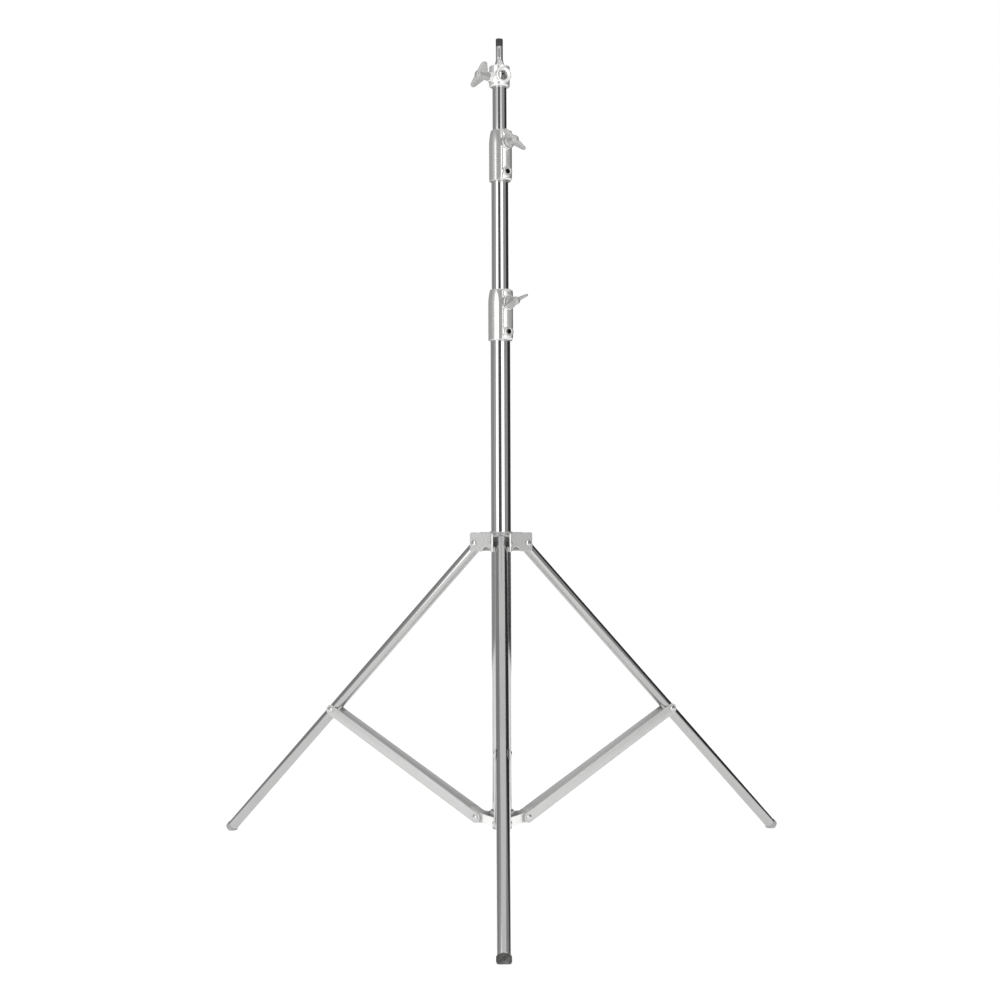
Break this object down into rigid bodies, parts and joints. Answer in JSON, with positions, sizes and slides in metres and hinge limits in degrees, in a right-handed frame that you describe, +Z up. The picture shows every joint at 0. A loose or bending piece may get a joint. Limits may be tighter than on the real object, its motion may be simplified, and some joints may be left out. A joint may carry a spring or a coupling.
{
  "type": "light stand",
  "caption": "Telescoping steel light stand: tripod legs with pressed channel braces, sliding leg spider, cast clamps with wing knobs, and a head with cross receiver and spigot",
  "frame": {"origin": "Centre of the bounding box's underside, on the floor. The pole's axis stands at X 0, Y +0.153395", "axes": "+Z up along the pole, -Y along the front leg, +X to the right seen from the front"},
  "size_m": [1.088, 0.9454, 1.4728],
  "materials": {
    "stainless_tube": "polished",
    "satin_tube": "satin",
    "cast_silver": "silver paint over casting",
    "pressed_sheet": "satin silver",
    "bright_steel": "bright plated",
    "brass_pad": "plain",
    "black_plastic": "matte",
    "black_rubber": "matte",
    "grey_rubber": "matte"
  },
  "bodies": {
    "base": {"lower_tube": "stainless_tube", "lower_tube_plug": "black_plastic", "lower_guide_sleeve": "black_plastic", "spreader_collar": "cast_silver", "collar_rivet_front": "bright_steel", "collar_rivet_right": "bright_steel", "collar_rivet_left": "bright_steel", "lower_clamp": "cast_silver", "lower_clamp_set_screw": "bright_steel", "lower_clamp_pad": "brass_pad"},
    "middle_section": {"middle_tube": "stainless_tube", "middle_tube_bush": "black_plastic", "upper_guide_sleeve": "black_plastic", "upper_clamp": "cast_silver", "upper_clamp_set_screw": "bright_steel", "upper_clamp_pad": "brass_pad"},
    "top_section": {"top_tube": "stainless_tube", "top_tube_bush": "black_plastic", "head": "cast_silver", "spigot": "bright_steel", "spigot_cap": "black_plastic"},
    "lower_knob": {"lower_clamp_knob": "cast_silver", "lower_clamp_screw": "bright_steel"},
    "upper_knob": {"upper_clamp_knob": "cast_silver", "upper_clamp_screw": "bright_steel"},
    "spigot_knob": {"head_knob": "cast_silver", "head_knob_screw": "bright_steel"},
    "bracket": {"leg_bracket": "cast_silver", "bracket_pad": "brass_pad", "ear_rivet_front_a": "bright_steel", "ear_rivet_front_b": "bright_steel", "ear_rivet_right_a": "bright_steel", "ear_rivet_right_b": "bright_steel", "ear_rivet_left_a": "bright_steel", "ear_rivet_left_b": "bright_steel"},
    "rear_knob": {"bracket_knob": "cast_silver", "bracket_knob_screw": "bright_steel"},
    "brace_front": {"strut_front": "pressed_sheet"},
    "brace_right": {"strut_right": "pressed_sheet"},
    "brace_left": {"strut_left": "pressed_sheet"},
    "front_leg": {"leg_front": "satin_tube", "leg_plug_front": "black_plastic", "leg_pin_front": "black_plastic", "strut_rivet_front": "bright_steel", "foot_front": "black_rubber"},
    "right_leg": {"leg_right": "satin_tube", "leg_plug_right": "black_plastic", "leg_pin_right": "black_plastic", "strut_rivet_right": "bright_steel", "foot_right": "grey_rubber"},
    "left_leg": {"leg_left": "satin_tube", "leg_plug_left": "black_plastic", "leg_pin_left": "black_plastic", "strut_rivet_left": "bright_steel", "foot_left": "grey_rubber"}
  },
  "joints": [
    {"name": "middle_slide", "type": "slide", "parent": "base", "child": "middle_section", "axis": [0, 0, 1], "range_m": [-0.19, 0.57]},
    {"name": "top_slide", "type": "slide", "parent": "middle_section", "child": "top_section", "axis": [0, 0, 1], "range_m": [-0.075, 0.73]},
    {"name": "bracket_slide", "type": "slide", "parent": "base", "child": "bracket", "axis": [0, 0, 1], "range_m": [0, 0.321]},
    {"name": "lower_knob_turn", "type": "hinge", "parent": "base", "child": "lower_knob", "pos_m": [0.01755, 0.123, 1], "axis": [0.5, -0.866, 0], "range_deg": [0, 360]},
    {"name": "upper_knob_turn", "type": "hinge", "parent": "middle_section", "child": "upper_knob", "pos_m": [0.0163, 0.12516, 1.284], "axis": [0.5, -0.866, 0], "range_deg": [0, 360]},
    {"name": "spigot_knob_turn", "type": "hinge", "parent": "top_section", "child": "spigot_knob", "pos_m": [-0.02096, 0.13702, 1.4025], "axis": [-0.788, -0.6157, 0], "range_deg": [0, 360]},
    {"name": "rear_knob_turn", "type": "hinge", "parent": "bracket", "child": "rear_knob", "pos_m": [0, 0.18499, 0.573], "axis": [0, 1, 0], "range_deg": [0, 360]},
    {"name": "brace_front_hinge", "type": "hinge", "parent": "base", "child": "brace_front", "pos_m": [0, 0.10659, 0.081], "axis": [-1, 0, 0], "range_deg": [0, 56.7]},
    {"name": "brace_right_hinge", "type": "hinge", "parent": "base", "child": "brace_right", "pos_m": [0.04053, 0.1768, 0.081], "axis": [0.5, -0.866, 0], "range_deg": [0, 56.7]},
    {"name": "brace_left_hinge", "type": "hinge", "parent": "base", "child": "brace_left", "pos_m": [-0.04053, 0.1768, 0.081], "axis": [0.5, 0.866, 0], "range_deg": [0, 56.7]},
    {"name": "leg_front_hinge", "type": "hinge", "parent": "brace_front", "child": "front_leg", "pos_m": [0, -0.21305, 0.25423], "axis": [1, 0, 0], "range_deg": [0, 97.8]},
    {"name": "leg_right_hinge", "type": "hinge", "parent": "brace_right", "child": "right_leg", "pos_m": [0.31735, 0.33662, 0.25423], "axis": [-0.5, 0.866, 0], "range_deg": [0, 97.8]},
    {"name": "leg_left_hinge", "type": "hinge", "parent": "brace_left", "child": "left_leg", "pos_m": [-0.31735, 0.33662, 0.25423], "axis": [-0.5, -0.866, 0], "range_deg": [0, 97.8]}
  ],
  "couplings": [
    {"joint": "brace_front_hinge", "follows": "bracket_slide", "rad_per_m": 3.0774},
    {"joint": "brace_right_hinge", "follows": "bracket_slide", "rad_per_m": 3.0774},
    {"joint": "brace_left_hinge", "follows": "bracket_slide", "rad_per_m": 3.0774},
    {"joint": "leg_front_hinge", "follows": "bracket_slide", "rad_per_m": 5.3105},
    {"joint": "leg_right_hinge", "follows": "bracket_slide", "rad_per_m": 5.3105},
    {"joint": "leg_left_hinge", "follows": "bracket_slide", "rad_per_m": 5.3105}
  ]
}
